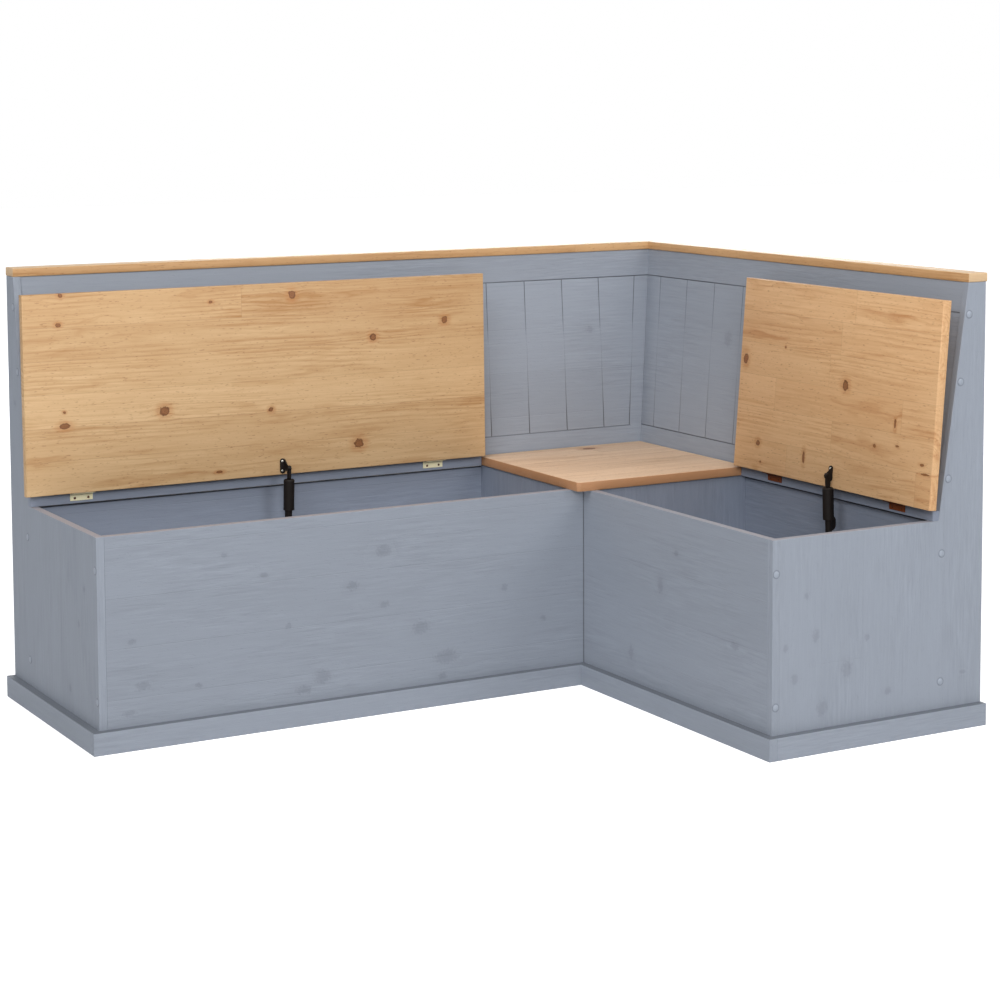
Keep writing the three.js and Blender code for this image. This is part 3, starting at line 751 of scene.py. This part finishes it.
# Painted shade: how much darker each lid is made towards the top of the open lid.
lid_fades = {"long": 1.25, "short": 0.0}
cap_grain_start = 0.02  # from the back plane
plug_numbers = range(1, 8)
board_rounding, leaf_rounding, stay_rounding = 0.0009, 0.0002, 0.0003
hinge_screw_radius, stay_screw_radius = 0.0026, 0.0029
leaf_face = 0.0013  # of a hinge leaf, from the middle of its pin
leaf_screw_aside, leaf_screw_down = 0.0145, 0.0098
stay_wall_height = 0.275  # of the middle of the base bracket
stay_wall_plate = 0.0025  # thickness of the base bracket on the wall
stay_wall_screw_aside, stay_wall_screw_rise = 0.0125, 0.0155
stay_lid_plate = 0.0023  # from the lid to the face of the lid bracket
stay_lid_screw_aside = 0.0096
stay_lid_screw_heights = {"long": (0.012, 0.032), "short": (0.023, 0.043)}  # up the open lid


def coat(node, origin, along, across, into, seed, **details):
    material = painted("paint_" + node, origin, along, across, into, seed, **details)
    return dress(node, material, board_rounding)


for number, one in enumerate(legs):
    name, along, room = one["name"], one["along"], one["room"]
    seed = 10.0 * number
    corner = outer_corner
    rim_bare = rim_bareness[name]
    shades = paint_shades[name]
    other_name = legs[1 - number]["name"]
    crease = abs((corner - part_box(f"front_panel_{other_name}")[0]).dot(along))
    # Painted shadow line on the front panel beside its joint with the other leg's front panel.
    coat(
        f"front_panel_{name}", corner, along, Z, -room, seed + 1, shade=shades["front"],
        knots=front_knots[name], bare=rim_bare, crease=crease,
    )
    # Painted shadow ring round each screw plug on the end panel.
    coat(
        f"end_panel_{name}", corner, Z, room, -along, seed + 2, knots=end_knots[name], bare=rim_bare,
        rings=[node_middle(f"screw_plug_{name}_{index}") for index in plug_numbers],
    )
    # The back wall is in the shaded paint, with painted shade on its top and a painted shadow band just under
    # its top edge, below the hinge strip.
    coat(
        f"back_wall_{name}", corner, along, Z, -room, seed + 3, shade=shades["inside"], pigment=inside_paint,
        ledge=0.92, brink=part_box(f"back_wall_{name}")[1].z,
    )
    coat(
        f"divider_{name}", corner, Z, room, -along, seed + 4, shade=shades["divider"],
        pigment=inside_paint,
    )
    coat(f"floor_{name}", corner, along, room, Z, seed + 5, shade=shades["inside"], pigment=inside_paint)
    # The plinths get painted shade on their tops; the front plinth is also a little darker all over, painted
    # shade as well.
    coat(f"plinth_front_{name}", corner, along, Z, -room, seed + 6, shade=0.96, ledge=0.5)
    coat(f"plinth_end_{name}", corner, room, Z, -along, seed + 7, ledge=0.5)
    # Painted shade in the backrest's grooves.
    coat(
        f"backrest_{name}", corner + Z * rim_height, along, Z, -room, seed + 8, knots=back_knots[name],
        grooved=True,
    )
    # The hinge strip in the shaded paint: painted shade under the lid.
    coat(
        f"hinge_strip_{name}", corner, along, Z, -room, seed + 9, shade=shades["strip"],
        pigment=inside_paint,
    )

    wood = pine(
        f"pine_lid_{name}",
        on_lid(one, 0, lid_start, 0),
        along,
        one["up"],
        one["back"],
        seed=seed + 3.3,
        stave=lid_width / lid_staves,
        length=lid_stave_lengths[name],
        shades=lid_shades[name],
        knots=[(place, up - lid_start, radius, stretch) for place, up, radius, stretch in lid_knots[name]],
        tone=lid_tones[name],
        fade=lid_fades[name],
    )
    dress(f"lid_{name}", wood)
    wood = pine(
        f"pine_cap_{name}", corner + room * cap_grain_start, along, Z, -room, seed=seed + 5.1, stave=0.3,
        length=1.4, shades=cap_shades, edge=(0.8, cap_end_shade),
    )
    dress(f"cap_{name}", wood)

    # Hinges, each with two screws in either leaf
    for index in (1, 2):
        suffix = f"{name}_{index}"
        finish = hinge_metals[name]
        for part in ("hinge_leaf_strip_", "hinge_leaf_lid_", "hinge_pin_"):
            dress(part + suffix, finish, leaf_rounding, shortest=0.003)
        centre = (node_middle("hinge_pin_" + suffix) - corner).dot(along)
        pin_room = (one["pin"] - corner).dot(room)
        for side in (-1, 1):
            aside = centre + side * leaf_screw_aside
            place = on_leg(one, aside, pin_room - leaf_face, one["pin"].z - leaf_screw_down)
            screw(
                f"hinge_screw_strip_{suffix}_{side + 2}", place, room, hinge_screw_radius, "root",
                dark_bronze, 20 * side,
            )
            place = on_lid(one, aside, leaf_face, -leaf_screw_down)
            screw(
                f"hinge_screw_lid_{suffix}_{side + 2}", place, -one["up"], hinge_screw_radius, f"lid_{name}",
                dark_bronze, 35 * side,
            )

    # Lid stay
    for node in ("stay_lid_bracket_", "stay_sleeve_", "stay_plunger_", "stay_base_bracket_"):
        dress(node + name, black, stay_rounding, shortest=0.003)
    stay_along = (one["stay"] - corner).dot(along)
    hand = 1 if name == "long" else -1
    for index, up in enumerate(stay_lid_screw_heights[name]):
        aside = stay_along + hand * stay_lid_screw_aside
        place = on_lid(one, aside, up, -(seat_thickness + stay_lid_plate))
        screw(
            f"stay_screw_lid_{name}_{index + 1}", place, -one["back"], stay_screw_radius, f"lid_{name}",
            zinc, 15,
        )
    wall = min((edge - corner).dot(room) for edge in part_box("stay_base_bracket_" + name))
    for index, (side, rise) in enumerate(((-1, -1), (-1, 1), (1, -1), (1, 1))):
        aside = stay_along + side * stay_wall_screw_aside
        height = stay_wall_height + rise * stay_wall_screw_rise
        place = on_leg(one, aside, wall + stay_wall_plate, height)
        screw(
            f"stay_screw_wall_{name}_{index + 1}", place, room, stay_screw_radius, "root",
            zinc, 30 * rise + 5,
        )

    # Painted plugs over the screws in the end panel
    plug_paint = plastic_paint(f"paint_plugs_{name}", along)
    for index in plug_numbers:
        dress(f"screw_plug_{name}_{index}", plug_paint)


wood = pine(
    "pine_corner_seat",
    outer_corner + Z * rim_height,
    -X,
    -Y,
    -Z,
    seed=41.7,
    stave=0.07,
    length=1.3,
    shades=(colour(236, 204, 172), colour(206, 166, 128)),
    knots=[(0.275, 0.152, 0.011, 1.5)],
    edge=(0.85, colour(170, 118, 76)),
)
dress("corner_seat", wood)


# Floor, backdrop and light
bench_middle = Vector((0.0, 0.0, 0.4))
white = (1, 1, 1, 1)
floor_tint = (0.72, 0.72, 0.73, 1)
floor_reach = 20
white_radii = (1.6, 5.0)  # from the middle, between which the floor turns white


def stage_floor():
    form = bmesh.new()
    bmesh.ops.create_grid(form, x_segments=1, y_segments=1, size=floor_reach)
    mesh = bpy.data.meshes.new("floor_stage")
    form.to_mesh(mesh)
    form.free()
    floor = bpy.data.objects.new("floor_stage", mesh)
    bpy.context.scene.collection.objects.link(floor)
    material, tree, shader = new_material("pale_floor")
    shader.inputs["Base Color"].default_value = floor_tint
    shader.inputs["Roughness"].default_value = 0.9
    here = coordinates(tree)
    grit = noise(vector(here.along(X) * 30.0, here.along(Y) * 30.0, 0.0), detail=3.0)
    bump(tree, shader, grit, distance=0.0005, strength=0.1)
    seen = tree.nodes.new("ShaderNodeLightPath").outputs["Is Camera Ray"]
    far = (here.along(X) * here.along(X) + here.along(Y) * here.along(Y)).sqrt().step(*white_radii)
    tree.links.new((Field(tree, seen) * (far * 0.3 + 0.7)).socket, shader.inputs["Emission Strength"])
    shader.inputs["Emission Color"].default_value = white
    mesh.materials.append(material)


def set_world(level):
    """White where it is seen, and level as bright where it lights."""
    world = bpy.data.worlds.new("studio")
    world.use_nodes = True
    tree = world.node_tree
    background = tree.nodes["Background"]
    background.inputs["Color"].default_value = white
    path = tree.nodes.new("ShaderNodeLightPath")
    camera, glossy, through = (
        Field(tree, path.outputs[name]) for name in ("Is Camera Ray", "Is Glossy Ray", "Is Transmission Ray")
    )
    plain = camera.most(glossy).most(through)
    tree.links.new((plain * (1.0 - level) + level).socket, background.inputs["Strength"])
    bpy.context.scene.world = world


def area_light(name, place, size, power):
    """A round soft lamp that faces the middle of the bench."""
    data = bpy.data.lights.new(name, "AREA")
    data.shape = "DISK"
    data.size = size
    data.energy = power
    lamp = bpy.data.objects.new(name, data)
    lamp.location = place
    lamp.rotation_euler = (bench_middle - Vector(place)).to_track_quat("-Z", "Y").to_euler()
    bpy.context.scene.collection.objects.link(lamp)


stage_floor()
set_world(0.155)
lamps = (  # name, place, size and watts
    ("key", (-3.4, -6.8, 3.2), 3.4, 236),
    ("side", (1.9, -3.7, 2.3), 1.8, 43),
    ("fill", (-5.6, -3.4, 5.0), 4.0, 205),
    ("top", (-0.9, -1.6, 6.0), 4.0, 100),
    ("back", (3.4, 5.4, 2.4), 4.0, 170),
)
for lamp_name, lamp_place, lamp_size, watts in lamps:
    area_light(lamp_name, lamp_place, lamp_size, watts)

bpy.context.scene.view_settings.view_transform = "Standard"
